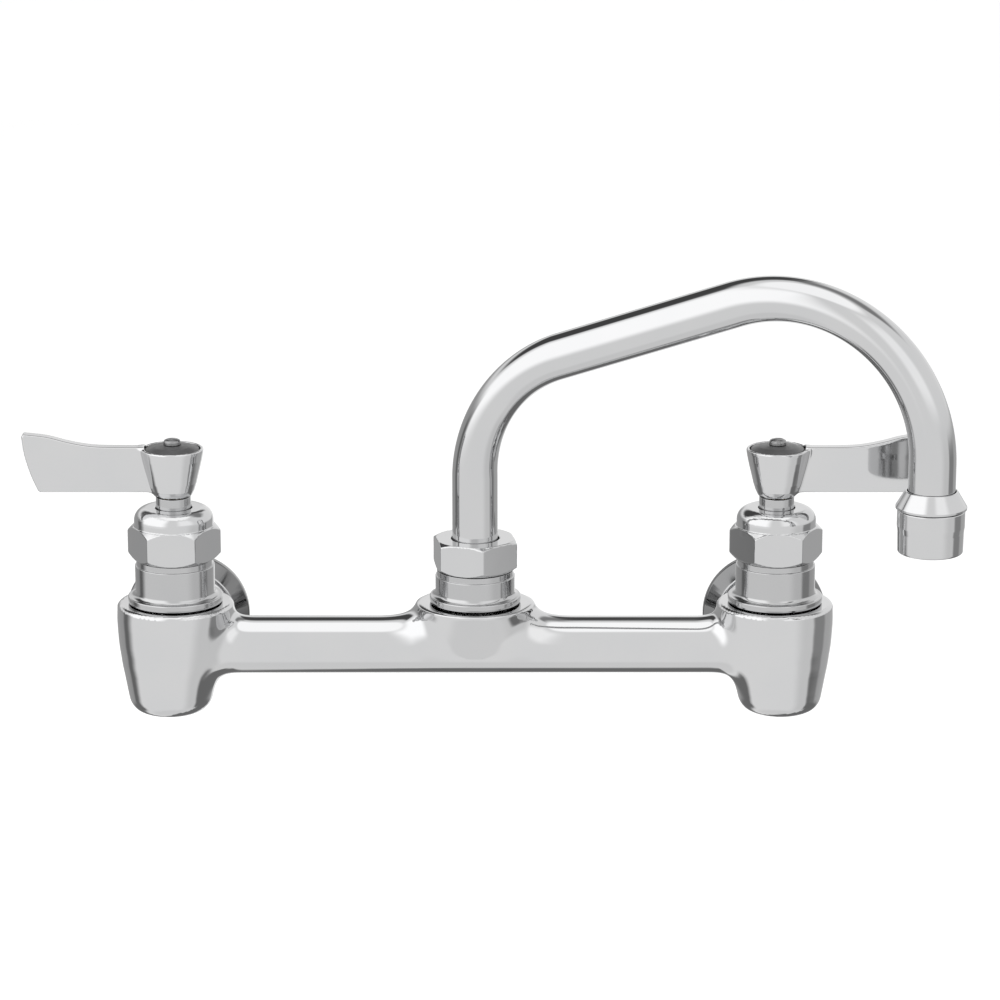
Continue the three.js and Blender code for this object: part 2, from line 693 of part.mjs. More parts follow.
const faucet = new THREE.Group();
const onBar = new THREE.Group(); // its origin is on the bar's axis, at the middle
onBar.position.set(0, -WALL_TO_VALVES, BAR_ABOVE_INLETS);
faucet.add(onBar);

function place(parent, name, geometry, finish) {
  const mesh = new THREE.Mesh(geometry, FINISH[finish]());
  mesh.name = name;
  parent.add(mesh);
}

function addValve(side, hand) {
  const valve = new THREE.Group();
  valve.position.x = side * (CENTRES / 2);
  onBar.add(valve);
  place(valve, `${hand}_seat_gasket`, seatGasket(), 'rubber');
  place(valve, `${hand}_fixed_disc`, ceramicDisc(FIXED_DISC_BOTTOM, 0), 'ceramic');
  place(valve, `${hand}_turning_disc`, ceramicDisc(MOVING_DISC_BOTTOM, 90), 'ceramic');
  place(valve, `${hand}_cartridge_body`, cartridgeBody(), 'brass');
  place(valve, `${hand}_spindle`, spindle(), 'brass');
  place(valve, `${hand}_spindle_o_ring`, oRing(3.88, 0.6, 40.95), 'rubber');
  place(valve, `${hand}_valve_collar`, valveCollar(), 'chrome');
  place(valve, `${hand}_bonnet_nut`, bonnetNut(), 'chrome');
  const handle = new THREE.Group();
  handle.rotation.z = side < 0 ? Math.PI : 0; // each blade rests pointing outwards
  valve.add(handle);
  place(handle, `${hand}_lever_handle`, leverHandle(), 'castChrome');
  place(handle, `${hand}_index_disc`, indexDisc(), 'darkPlastic');
  place(handle, `${hand}_handle_screw`, handleScrew(), 'steel');
}

function addUnion(side, hand) {
  const union = new THREE.Group();
  union.position.x = side * (CENTRES / 2);
  faucet.add(union);
  place(union, `${hand}_wall_flange`, wallFlange(), 'chrome');
  place(union, `${hand}_union_nut`, unionNut(), 'chrome');
  place(union, `${hand}_union_washer`, unionWasher(), 'rubber');
}

function addSpout() {
  place(onBar, 'spout_collar', spoutCollar(), 'chrome');
  place(onBar, 'spout_nut', spoutNut(), 'chrome');
  const spout = new THREE.Group();
  spout.rotation.z = -radians(SPOUT.swing);
  onBar.add(spout);
  place(spout, 'spout_ferrule', spoutFerrule(), 'brass');
  for (const [i, level] of ['lower', 'upper'].entries()) {
    place(spout, `spout_${level}_o_ring`, oRing(8.25, 0.8, FERRULE.grooves[i] + 1.05), 'rubber');
  }
  place(spout, 'spout_slip_washer', slipWasher(), 'plastic');
  place(spout, 'spout_tube', spoutTube(), 'chrome');
  const tip = new THREE.Group();
  tip.position.x = SPOUT.reach;
  spout.add(tip);
  place(tip, 'aerator_adapter', aeratorAdapter(), 'chrome');
  place(tip, 'aerator_shell', aeratorShell(), 'chrome');
  place(tip, 'aerator_insert', aeratorInsert(), 'plastic');
  place(tip, 'aerator_gasket', aeratorGasket(), 'rubber');
}

place(onBar, 'body_casting', bodyCasting(), 'castChrome');
for (const [side, hand] of [[-1, 'left'], [1, 'right']]) {
  addValve(side, hand);
  addUnion(side, hand);
}
addSpout();

export default faucet;
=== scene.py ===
"""Looks of the commercial wall faucet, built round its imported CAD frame.

Shapes are worked out in millimetres. Heights are over the bar's axis and radii are from the axis of the
valve, spout or pipe, as in the CAD source; a mesh is turned into metres when it is made.
"""

import math

import bpy
import numpy as np
from mathutils import Matrix, Vector


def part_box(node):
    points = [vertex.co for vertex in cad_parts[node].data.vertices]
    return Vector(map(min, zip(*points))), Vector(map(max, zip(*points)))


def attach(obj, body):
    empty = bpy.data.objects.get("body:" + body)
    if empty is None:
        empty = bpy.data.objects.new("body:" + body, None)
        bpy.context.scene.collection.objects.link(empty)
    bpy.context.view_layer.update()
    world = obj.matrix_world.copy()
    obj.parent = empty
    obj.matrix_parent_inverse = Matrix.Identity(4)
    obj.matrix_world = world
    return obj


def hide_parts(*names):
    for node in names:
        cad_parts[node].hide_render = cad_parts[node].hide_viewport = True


MM = 0.001

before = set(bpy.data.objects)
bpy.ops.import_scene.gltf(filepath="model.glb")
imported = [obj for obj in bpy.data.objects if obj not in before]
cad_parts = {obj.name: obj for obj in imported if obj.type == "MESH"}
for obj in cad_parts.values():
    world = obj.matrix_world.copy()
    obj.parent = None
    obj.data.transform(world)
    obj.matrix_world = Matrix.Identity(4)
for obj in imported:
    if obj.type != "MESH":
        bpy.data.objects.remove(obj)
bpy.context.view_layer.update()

# ---------------------------------------------------------------- places, from the frame


def middle(node):
    """The middle of a CAD node's box, in millimetres."""
    low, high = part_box(node)
    return (low + high) / (2 * MM)


HALF = (middle("right_valve_collar").x - middle("left_valve_collar").x) / 2
ROW_Y = middle("left_valve_collar").y  # the valve axes and the bar, in front of the wall
BAR_Z = 4.0  # the bar's axis over the inlets
SPOUT_AT = Vector((0, ROW_Y, BAR_Z))
TIP_AT = Vector((middle("aerator_shell").x, middle("aerator_shell").y, BAR_Z))
SIDES = {"left": -1, "right": 1}

# ---------------------------------------------------------------- sizes, in millimetres

BAR_RADIUS = 9.75
BAR_BORE = 6
BAR_BORE_END = 8  # before each valve axis
HOUSING_TOP = 15.3
HOUSING_BOTTOM = -23.6
HOUSING_LEAN = 2.2  # how far its foot stands outwards of its top
HOUSING_OUTLINE = [(19.6, 14.2), (19.4, 10), (19, 6.5), (18.2, 1), (17.4, -3), (16.7, -6.6), (16, -9.6),
                   (15.3, -12.8), (14.6, -16.2), (13.9, -19.2), (12.7, -21.2), (11, -22.5)]
# "wide" is the boss's half width at its foot, and "sunk" how far its front foot lies within the bar
BOSS = {"top": 15, "radius": 19.4, "wide": 21, "sunk": 0.35, "rim": 1.8, "fillet": 13}
NECK = {"radius": 11.5, "end": 21.2}  # the inlet neck; its end is measured from the wall
INLET = {"bore": 6.5, "inner_end": 17}  # the bore's inner end is measured from the valve axis
# the sloping passage from the room under a cartridge back to its inlet; "squeeze" is its slope's cosine
PASSAGE = {"radius": 4.4, "length": 19, "over": 0.5, "start": -14.6, "rise": 8.6, "squeeze": 0.91}
CASTING_BLENDS = {"neck": 4, "bar": 9, "rim": 0.8, "bores": 0.7}
COLLAR = {"radius": 13.45, "step": 0.5, "lip": 16.2, "lip_top": 17.8, "fillet": 1.6, "shank": 11.4,
          "thread": 11.3}
COLLAR_FOOT = {"valve": 16, "spout": 15.4}
BONNET = {"flats": 27.4, "turn": 0, "bottom": 30.7, "face_top": 42.1, "corner": 15.9,
          "cap": 13.4, "top": 48.3, "shoulder": 4.2}
SPOUT_NUT = {"flats": 26.2, "turn": -20, "bottom": 27, "top": 37.6, "corner": 15.2}
UNION = {"flats": 32, "turn": 0, "back": 14, "front": 31, "corner": 18.5}
HANDLE = {"socket": 3.3, "socket_top": 62.3, "blend": 2.5, "edge": 0.5, "blade_edge": 1}
BLADE = {"length": 50.4, "half": 2.3, "bottom": 53.9, "root_top": 69.4, "tip_top": 73.8, "heel": 45.3}
SCREW = {"head": 2.9, "slot_half": 0.42, "slot_floor": 71, "turn": 25}
TUBE = {"radius": 7.7, "wall": 1.1, "foot": 24.4, "tip": 64.4}
SPOUT = {"reach": 157, "corner": 91.7, "slope": 20.1, "riser_bend": 46, "tip_bend": 50, "swing": 20}
FLATTEN = 0.07  # how far a bend flattens the tube in its own plane
SHELL = {"bottom": 47.7, "top": 62.1, "radius": 11}
FORMER = {"top": 53.4, "reach": 7.8, "bars": 5, "pitch": 1.35, "bar": 0.28}
FLANGE = {"radius": 21.7, "shine": 17.3, "tone": 0.35}  # its bevel has a painted dark reflection: beyond the ring within it the colour is darkened to that share

# ---------------------------------------------------------------- materials


class Surface:
    """A node material under construction."""

    def __init__(self, name, **sockets):
        self.material = bpy.data.materials.new(name)
        self.material.use_nodes = True
        self.nodes = self.material.node_tree.nodes
        self.shader = self.nodes["Principled BSDF"]
        for socket, value in sockets.items():
            self.shader.inputs[socket.replace("_", " ").title()].default_value = value
        self.coordinates = self.add("ShaderNodeTexCoord").outputs["Object"]

    def add(self, kind, **values):
        node = self.nodes.new(kind)
        for key, value in values.items():
            if hasattr(node, key):
                setattr(node, key, value)
            else:
                node.inputs[key.replace("_", " ").title()].default_value = value
        return node

    def link(self, source, target):
        self.material.node_tree.links.new(source, target)

    def noise(self, per_metre, detail=3.0, stretch=(1, 1, 1)):
        """Noise with that many features to the metre; stretch squeezes it along an axis."""
        mapping = self.add("ShaderNodeMapping")
        mapping.inputs["Scale"].default_value = stretch
        texture = self.add("ShaderNodeTexNoise", scale=per_metre, detail=detail)
        self.link(self.coordinates, mapping.inputs["Vector"])
        self.link(mapping.outputs["Vector"], texture.inputs["Vector"])
        return texture.outputs["Fac"]

    def spread(self, value, low, high, start=0.3, end=0.7):
        """The value, which mostly lies between start and end, moved to between low and high."""
        node = self.add("ShaderNodeMapRange")
        limits = {"From Min": start, "From Max": end, "To Min": low, "To Max": high}
        for socket, number in limits.items():
            node.inputs[socket].default_value = number
        self.link(value, node.inputs["Value"])
        return node.outputs["Result"]

    def tint(self, value, dark, light):
        """Colours the surface between two colours by the value."""
        ramp = self.add("ShaderNodeValToRGB")
        ramp.color_ramp.elements[0].position = 0.3
        ramp.color_ramp.elements[1].position = 0.7
        ramp.color_ramp.elements[0].color = (*dark, 1)
        ramp.color_ramp.elements[1].color = (*light, 1)
        self.link(value, ramp.inputs["Fac"])
        self.link(ramp.outputs["Color"], self.shader.inputs["Base Color"])

    def relief(self, value, millimetres):
        """Raises the surface by the value, by chaining onto any relief that it has."""
        bump = self.add("ShaderNodeBump")
        bump.inputs["Distance"].default_value = millimetres * MM
        if self.shader.inputs["Normal"].is_linked:
            self.link(self.shader.inputs["Normal"].links[0].from_socket, bump.inputs["Normal"])
        self.link(value, bump.inputs["Height"])
        self.link(bump.outputs["Normal"], self.shader.inputs["Normal"])

    def paint_reflection_ring(self, offset, radius, share):
        """Paints a dark reflection into the metal's colour beyond a radius, in millimetres, from two axes
        along Y that lie so far to either side. The face against the wall keeps its bright colour."""
        split = self.add("ShaderNodeSeparateXYZ")
        self.link(self.coordinates, split.inputs["Vector"])

        def calculate(operation, first, second=None):
            node = self.add("ShaderNodeMath", operation=operation)
            for value, socket in zip((first, second), node.inputs):
                if isinstance(value, (int, float)):
                    socket.default_value = value
                elif value is not None:
                    self.link(value, socket)
            return node.outputs[0]

        across = calculate("SUBTRACT", calculate("ABSOLUTE", split.outputs["X"]), offset * MM)
        upright = split.outputs["Z"]
        away = calculate("SQRT", calculate("ADD", calculate("MULTIPLY", across, across),
                                           calculate("MULTIPLY", upright, upright)))
        # painted dark reflection: the colour is multiplied down to the share beyond the radius, except on
        # the wall face
        mix = self.add("ShaderNodeMix", data_type="RGBA", blend_type="MULTIPLY")
        beyond = self.spread(away, 0, 1, (radius - 0.2) * MM, (radius + 0.2) * MM)
        in_front = self.spread(split.outputs["Y"], 1, 0, -0.6 * MM, -0.2 * MM)
        self.link(calculate("MULTIPLY", beyond, in_front), mix.inputs["Factor"])
        self.link(self.shader.inputs["Base Color"].links[0].from_socket, mix.inputs["A"])
        mix.inputs["B"].default_value = (share, share, share, 1)
        self.link(mix.outputs["Result"], self.shader.inputs["Base Color"])

    def rough(self, value, low, high):
        """Varies the roughness by the value."""
        self.link(self.spread(value, low, high), self.shader.inputs["Roughness"])


def plated(name, tone, roughness, waviness, lines=0.0, dark_reflection_ring=None):
    """Polished plating: slow waves left by the buffing wheel, faint smears and, with lines, turning
    marks. A painted dark reflection ring is (distance of the axes from the middle, inner radius, share of
    the tone)."""
    surface = Surface(name, metallic=1.0)
    smears = surface.noise(60, detail=4)
    surface.tint(smears, (tone * 0.985, tone * 0.99, tone), (tone * 1.01, tone * 1.01, tone * 1.015))
    surface.rough(surface.noise(170, detail=5), roughness * 0.75, roughness * 1.35)
    surface.relief(surface.noise(90, detail=1), waviness)
    if lines:
        surface.relief(surface.noise(900, detail=2, stretch=(1, 1, 9)), lines)
    # a painted dark reflection ring in the colour, where the flange's bevel would mirror a dark surround
    if dark_reflection_ring:
        surface.paint_reflection_ring(*dark_reflection_ring)
    return surface.material


def turned_brass():
    """Bare brass with turning marks."""
    surface = Surface("turned_brass", metallic=1.0)
    surface.tint(surface.noise(120, detail=4), (0.62, 0.40, 0.14), (0.74, 0.50, 0.20))
    surface.rough(surface.noise(400), 0.24, 0.4)
    surface.relief(surface.noise(1500, detail=2, stretch=(1, 1, 8)), 0.02)
    return surface.material


def dull(name, dark, light, roughness, grain):
    """A plain moulded or fired piece with a fine grain."""
    surface = Surface(name)
    surface.tint(surface.noise(250, detail=4), dark, light)
    surface.rough(surface.noise(700), roughness * 0.85, roughness * 1.15)
    surface.relief(surface.noise(2600, detail=2), grain)
    return surface.material


MATERIALS = {
    "cast_chrome": plated("cast_chrome", 0.62, 0.05, 0.02),
    "chrome": plated("chrome", 0.6, 0.04, 0.008),
    "satin_chrome": plated("satin_chrome", 0.5, 0.11, 0.01, lines=0.002),
    "turned_chrome": plated("turned_chrome", 0.6, 0.07, 0.006, lines=0.0012),
    "tube_chrome": plated("tube_chrome", 0.59, 0.03, 0.008),
    # the flange's bevel gets a painted dark reflection in its colour
    "flange_chrome": plated("flange_chrome", 0.6, 0.06, 0.008,
                            dark_reflection_ring=(HALF, FLANGE["shine"], FLANGE["tone"])),
    "steel": plated("screw_steel", 0.3, 0.28, 0.006),
    "brass": turned_brass(),
    "rubber": dull("rubber", (0.012, 0.012, 0.012), (0.022, 0.022, 0.023), 0.7, 0.02),
    "ceramic": dull("ceramic", (0.76, 0.73, 0.66), (0.82, 0.79, 0.72), 0.25, 0.004),
    "plastic": dull("plastic", (0.68, 0.67, 0.63), (0.75, 0.74, 0.7), 0.45, 0.01),
    "dark_plastic": dull("dark_plastic", (0.07, 0.07, 0.07), (0.095, 0.095, 0.097), 0.35, 0.01),
}

# ---------------------------------------------------------------- shapes: points, faces and normals


def joined(*shapes):
    """Several closed shapes as one."""
    points, faces, normals, first = [], [], [], 0
    for p, f, n in shapes:
        points.append(p)
        faces.extend([[i + first for i in face] for face in f])
        normals.append(n)
        first += len(p)
    return np.vstack(points), faces, np.vstack(normals)


def moved(shape, at, matrix=None):
    """A shape turned by a 3x3 matrix and moved to a point. A mirroring matrix turns its faces round."""
    points, faces, normals = shape
    turn = np.eye(3) if matrix is None else np.array(matrix, float)
    if np.linalg.det(turn) < 0:
        faces = [face[::-1] for face in faces]
    return points @ turn.T + np.array(at, float), faces, normals @ turn.T


def turn_z(degrees):
    """A matrix that turns about Z."""
    return Matrix.Rotation(math.radians(degrees), 3, "Z")


FROM_WALL = Matrix(((1, 0, 0), (0, 0, -1), (0, 1, 0)))  # takes Z to -Y, away from the wall


def piece(name, shape, material, body, *nodes, slot=None):
    """Makes the mesh, gives it its finish, and lets it stand for those CAD nodes on their body."""
    points, faces, normals = shape
    mesh = bpy.data.meshes.new(name)
    mesh.from_pydata((points * MM).tolist(), [], faces)
    mesh.shade_smooth()
    mesh.normals_split_custom_set_from_vertices(normals.tolist())
    mesh.materials.append(MATERIALS[material])
    obj = bpy.data.objects.new(name, mesh)
    bpy.context.scene.collection.objects.link(obj)
    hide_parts(*nodes)
    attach(obj, body)


def rounded(corners, per_turn=40):
    """Dense points of an outline, and their normals. A corner is (radius, height) or, where it is
    rounded, (radius, height, rounding). The material lies to the left of the way round."""
    corners = [(*c, 0)[:3] for c in corners]
    points, normals = [], []
    last = len(corners) - 1
    for i, (r, z, rounding) in enumerate(corners):
        here = np.array((r, z), float)
        before = here - np.array(corners[i - 1][:2]) if i else None
        after = np.array(corners[i + 1][:2]) - here if i < last else None
        if before is None or after is None:
            way = after if before is None else before
            way = way / np.linalg.norm(way)
            points.append(here)
            normals.append((way[1], -way[0]))
            continue
        u, v = before / np.linalg.norm(before), after / np.linalg.norm(after)
        bend = math.atan2(u[0] * v[1] - u[1] * v[0], float(u @ v))
        reach = rounding * math.tan(abs(bend) / 2)
        steps = max(2, math.ceil(abs(bend) / (2 * math.pi) * per_turn))
        start = here - u * reach
        side = math.copysign(1, bend)
        centre = start + side * rounding * np.array((-u[1], u[0]))
        for k in range(steps + 1):
            turn = bend * k / steps
            way = np.array((u[0] * math.cos(turn) - u[1] * math.sin(turn),
                            u[0] * math.sin(turn) + u[1] * math.cos(turn)))
            normal = np.array((way[1], -way[0]))
            points.append(centre + side * rounding * normal)
            normals.append(normal)
    return np.array(points), np.array(normals)


def lathe(corners, segments=112):
    """A turned piece. Its outline starts and ends on the axis, or comes back to where it starts."""
    closed = corners[0][:2] == corners[-1][:2]
    points, normals = rounded(corners)
    if closed:
        points, normals = points[:-1], normals[:-1]
    angles = np.arange(segments) * 2 * math.pi / segments
    cos, sin = np.cos(angles), np.sin(angles)
    out_points, out_normals, rings = [], [], []
    for (r, z), (nr, nz) in zip(points, normals):
        first = sum(len(p) for p in out_points)
        if r < 1e-6:
            out_points.append(np.array([[0, 0, z]]))
            out_normals.append(np.array([[0, 0, math.copysign(1, nz)]]))
            rings.append([first])
            continue
        out_points.append(np.column_stack((r * cos, r * sin, np.full(segments, z))))
        out_normals.append(np.column_stack((nr * cos, nr * sin, np.full(segments, nz))))
        rings.append(list(range(first, first + segments)))
    pairs = list(zip(rings, rings[1:])) + ([(rings[-1], rings[0])] if closed else [])
    faces = [face for low, high in pairs for face in band(low, high)]
    return np.vstack(out_points), faces, np.vstack(out_normals)


def band(low, high):
    """Faces between two rings of vertices, either of which may be a single pole."""
    n = max(len(low), len(high))
    for i in range(n):
        j = (i + 1) % n
        if len(low) == 1:
            yield [low[0], high[j], high[i]]
        elif len(high) == 1:
            yield [low[i], low[j], high[0]]
        else:
            yield [low[i], low[j], high[j], high[i]]


# ---------------------------------------------------------------- fields: distances to a solid's skin


def outline_distance(r, z, outline):
    """Distance from points (r, z) to a closed outline, negative inside it."""
    nearest = np.full(np.shape(r), np.inf)
    inside = np.zeros(np.shape(r), bool)
    corners = np.array(outline, float)
    for (r0, z0), (r1, z1) in zip(corners, np.roll(corners, -1, axis=0)):
        dr, dz = r1 - r0, z1 - z0
        along = np.clip(((r - r0) * dr + (z - z0) * dz) / (dr * dr + dz * dz), 0, 1)
        nearest = np.minimum(nearest, (r - r0 - along * dr) ** 2 + (z - z0 - along * dz) ** 2)
        if dz:
            inside ^= ((z0 > z) != (z1 > z)) & (r < r0 + (z - z0) * dr / dz)
    return np.where(inside, -1, 1) * np.sqrt(nearest)


def blend_min(a, b, k):
    """The union of two fields, with a hollow fillet of about 0.6 k."""
    share = np.maximum(k - np.abs(a - b), 0) / k
    return np.minimum(a, b) - share**3 * k / 6


def blend_max(a, b, k):
    """What two fields share, with its edge rounded off."""
    return -blend_min(-a, -b, k)


def smooth(share):
    """From 0 to 1 without a kink as the share goes from 0 to 1."""
    share = np.clip(share, 0, 1)
    return share * share * (3 - 2 * share)


def gradient(field, points, h=0.02):
    """The field's slope at points."""
    columns = []
    for axis in range(3):
        offset = np.zeros(3)
        offset[axis] = h
        columns.append(field(*(points + offset).T) - field(*(points - offset).T))
    return np.column_stack(columns) / (2 * h)


def skin(field, low, high, step):
    """The surface where a field is zero: a vertex in each cell that it crosses, moved onto it."""
    axes = [np.arange(a, b + step, step) for a, b in zip(low, high)]
    value = field(*np.meshgrid(*axes, indexing="ij"))
    inside = value < 0
    cells = np.array(value.shape) - 1

    def flat(cell):
        return (cell[:, 0] * cells[1] + cell[:, 1]) * cells[2] + cell[:, 2]

    total = np.zeros((cells.prod(), 3))
    count = np.zeros(cells.prod())
    quads = []
    for axis in range(3):
        u, v = (axis + 1) % 3, (axis + 2) % 3
        start = tuple(slice(None, -1) if k == axis else slice(None) for k in range(3))
        end = tuple(slice(1, None) if k == axis else slice(None) for k in range(3))
        edges = np.argwhere(inside[start] != inside[end])
        a = value[start][tuple(edges.T)]
        b = value[end][tuple(edges.T)]
        crossing = edges.astype(float)
        crossing[:, axis] += a / (a - b)
        corners = []
        for du, dv in ((-1, -1), (0, -1), (0, 0), (-1, 0)):
            cell = edges.copy()
            cell[:, u] += du
            cell[:, v] += dv
            index = flat(cell)
            for k in range(3):
                total[:, k] += np.bincount(index, crossing[:, k], len(total))
            count += np.bincount(index, minlength=len(count))
            corners.append(index)
        quad = np.column_stack(corners)
        quads.append(np.where((a < 0)[:, None], quad, quad[:, ::-1]))
    used = np.flatnonzero(count)
    number = np.full(len(count), -1)
    number[used] = np.arange(len(used))
    points = total[used] / count[used, None] * step + np.array([a[0] for a in axes])
    for _ in range(4):
        slope = gradient(field, points)
        points -= field(*points.T)[:, None] * slope / (slope**2).sum(1, keepdims=True)
    slope = gradient(field, points)
    normals = slope / np.linalg.norm(slope, axis=1, keepdims=True)
    return points, number[np.vstack(quads)].tolist(), normals


# ---------------------------------------------------------------- the cast body


def smooth_line(corners, steps=4):
    """Extra points on a smooth curve through the corners."""
    p = np.array([corners[0], *corners, corners[-1]], float)
    out = []
    for i in range(1, len(p) - 2):
        for t in np.arange(steps) / steps:
            out.append(0.5 * (2 * p[i] + (p[i + 1] - p[i - 1]) * t
                              + (2 * p[i - 1] - 5 * p[i] + 4 * p[i + 1] - p[i + 2]) * t**2
                              + (3 * p[i] - p[i - 1] - 3 * p[i + 1] + p[i + 2]) * t**3))
    return [*map(tuple, out), tuple(p[-1])]


HOUSING_SECTION = [(0, HOUSING_TOP), (18.5, HOUSING_TOP), (19.1, HOUSING_TOP - 0.4),
                   *smooth_line([*HOUSING_OUTLINE, (8.4, HOUSING_BOTTOM + 0.3), (5, HOUSING_BOTTOM)]),
                   (0, HOUSING_BOTTOM)]
# the room for a cartridge with the sump under it, and the well that the spout's collar stands in
CHAMBER_SECTION = [(0, -18.5), (7, -18.5), (7, -9), (5, -9), (5, -3), (10.5, -3), (10.5, 8), (12.5, 8),
                   (12.5, 30), (0, 30)]
WELL_SECTION = [(0, -4), (6.5, -4), (6.5, 5), (11.5, 5), (11.5, 30), (0, 30)]


def boss_field(x, y, z):
    """The middle boss: an oval at each height, whose front slopes in to touch the bar's lower front."""
    top, radius = BOSS["top"], BOSS["radius"]
    # the angle round the bar at which a straight line from the boss's rim touches it
    touch = math.atan2(top, radius) - math.acos(BAR_RADIUS / math.hypot(top, radius))
    low, near = BAR_RADIUS * math.sin(touch), BAR_RADIUS * math.cos(touch) - BOSS["sunk"]
    share = np.clip((z - low) / (top - low), 0, 1)
    depth = near + (radius - near) * share
    width = BOSS["wide"] + (radius - BOSS["wide"]) * share
    side = blend_max((np.hypot(x / width, y / depth) - 1) * depth, z - top, BOSS["rim"])
    return np.maximum(side, low - z)


def casting(x, y, z):
    """The cast body's field, about the middle of the bar's axis."""
    out = np.abs(x) - HALF
    down = np.clip((HOUSING_TOP - z) / (HOUSING_TOP - HOUSING_BOTTOM), 0, 1)
    lean = HOUSING_LEAN * np.sin(down * math.pi / 2)
    across = np.hypot(y, z)
    housing = outline_distance(np.hypot(out - lean, y), z, HOUSING_SECTION)
    bar = np.maximum(across - BAR_RADIUS, out)
    pipe = np.hypot(out, z + BAR_Z)
    neck = np.maximum(pipe - NECK["radius"], np.maximum(-y, y + NECK["end"] + ROW_Y))
    shape = blend_min(housing, neck, CASTING_BLENDS["neck"])
    shape = blend_min(shape, bar, CASTING_BLENDS["bar"])
    # the boss is filleted along the bar's top, and less and less towards its own front and foot
    fillet = 0.1 + BOSS["fillet"] * smooth((np.abs(x) - 2) / BOSS["radius"]) * smooth((z + 7) / 10)
    shape = blend_min(shape, boss_field(x, y, z), fillet)
    shape = blend_max(shape, z - HOUSING_TOP, CASTING_BLENDS["rim"])
    chamber = outline_distance(np.hypot(out, y), z, CHAMBER_SECTION)
    well = outline_distance(np.hypot(x, y), z, WELL_SECTION)
    inlet = np.maximum(pipe - INLET["bore"], INLET["inner_end"] - y)
    length = PASSAGE["length"]
    fall = PASSAGE["start"] + PASSAGE["rise"] * np.clip(y, 0, length) / length
    passage = np.maximum(np.hypot(out, (z - fall) * PASSAGE["squeeze"]) - PASSAGE["radius"],
                         np.abs(y - length / 2) - length / 2 - PASSAGE["over"])
    waterway = np.maximum(across - BAR_BORE, out + BAR_BORE_END)
    hollow = np.minimum.reduce([chamber, well, inlet, passage, waterway])
    return blend_max(shape, -hollow, CASTING_BLENDS["bores"])


def body_casting():
    """The cast body with its chambers and waterways."""
    step = 0.75
    reach = HALF + 21
    return moved(skin(casting, (-reach, -21, -25), (reach, 33, 17.5), step), (0, ROW_Y, BAR_Z))


# ---------------------------------------------------------------- collars, nuts and handles


def collar(nut_bottom, bore, low, foot):
    """A collar: a lip, a tight fillet, a plain band, a step under the nut, and a thread."""
    seat, top, nut = HOUSING_TOP + 0.3, nut_bottom - 2.2, nut_bottom - 0.3
    radius, lip, lip_top = COLLAR["radius"], COLLAR["lip"], COLLAR["lip_top"]
    shank, neck, thread = COLLAR["shank"], radius - COLLAR["step"], COLLAR["thread"]
    return lathe([
        (bore, low), (shank, low, 0.3), (shank, seat, 0.2), (foot - 0.15, seat, 0.1), (foot, lip, 0.2),
        (foot, lip_top, 0.4), (radius, lip_top, COLLAR["fillet"]), (radius, top, 0.3), (neck, top, 0.1),
        (neck, nut, 0.1), (thread, nut, 0.1), (thread, nut_bottom + 2, 0.4), (bore, nut_bottom + 2, 0.3),
        (bore, low),
    ])


def hexagon_field(x, y, flats, turn, edge=0.35):
    """Distance to a hexagonal prism with slightly rounded edges; turn 0 has a flat in front."""
    reach = None
    for k in range(6):
        angle = math.radians(turn + 60 * k + 90)
        side = x * math.cos(angle) + y * math.sin(angle) - flats / 2
        reach = side if reach is None else blend_max(reach, side, edge)
    return reach


def nut_field(x, y, z, nut, limits, bore, chamfer, cap=None):
    """A hexagon within the turned outline of its limits, with a bore and perhaps a turned cap."""
    r = np.hypot(x, y)
    hexagon = hexagon_field(x, y, nut["flats"], nut["turn"])
    solid = blend_max(hexagon, outline_distance(r, z, limits), chamfer)
    if cap:
        solid = blend_min(solid, outline_distance(r, z, cap), 0.5)
    return blend_max(solid, -outline_distance(r, z, bore), 0.5)


def bonnet_nut():
    """A hexagon chamfered at both ends, with a round-shouldered cap on it."""
    bottom, face_top, corner = BONNET["bottom"], BONNET["face_top"], BONNET["corner"]
    radius, top, shoulder = BONNET["cap"], BONNET["top"], BONNET["shoulder"]
    crown = [(radius + shoulder * (math.sin(a) - 1), top + shoulder * (math.cos(a) - 1))
             for a in np.linspace(0, math.pi / 2, 12)]
    cap = [(0, top), *crown, (radius, 40), (0, 40)]
    limits = [(0, bottom), (13.5, bottom), (corner, bottom + 1.9), (corner, face_top - 1.8),
              (13.9, face_top), (0, face_top)]
    bore = [(0, 29), (12.1, 29), (12.1, 38), (6.2, 38), (6.2, 49), (0, 49)]

    def field(x, y, z):
        return nut_field(x, y, z, BONNET, limits, bore, 0.4, cap)

    return skin(field, (-16.5, -16.5, 29.6), (16.5, 16.5, 48.6), 0.4)


def spout_nut():
    """The nut that holds the spout down, with the tube's hole in its top."""
    bottom, top, corner = SPOUT_NUT["bottom"], SPOUT_NUT["top"], SPOUT_NUT["corner"]
    limits = [(0, bottom), (13, bottom), (corner, bottom + 1.6), (corner, top - 1), (13.3, top),
              (0, top)]
    bore = [(0, 25), (11.6, 25), (11.6, 33.6), (8.1, 33.6), (8.1, 40), (0, 40)]

    def field(x, y, z):
        return nut_field(x, y, z, SPOUT_NUT, limits, bore, 0.4)

    return skin(field, (-16, -16, 26.4), (16, 16, 38.2), 0.4)


HUB_SECTION = [(0, 52.4), (6.1, 52.4), (6.5, 52.9), (7.3, 54.6), (8.05, 57), (8.65, 59.5), (9.35, 62.3),
               (10, 65.1), (10.45, 67.6), (10.5, 68.3), (10.3, 68.7), (9.9, 68.8), (0, 68.8)]
RECESS_SECTION = [(0, 65.3), (8.4, 65.3), (9.1, 66), (9.4, 68.5), (9.6, 80), (0, 80)]


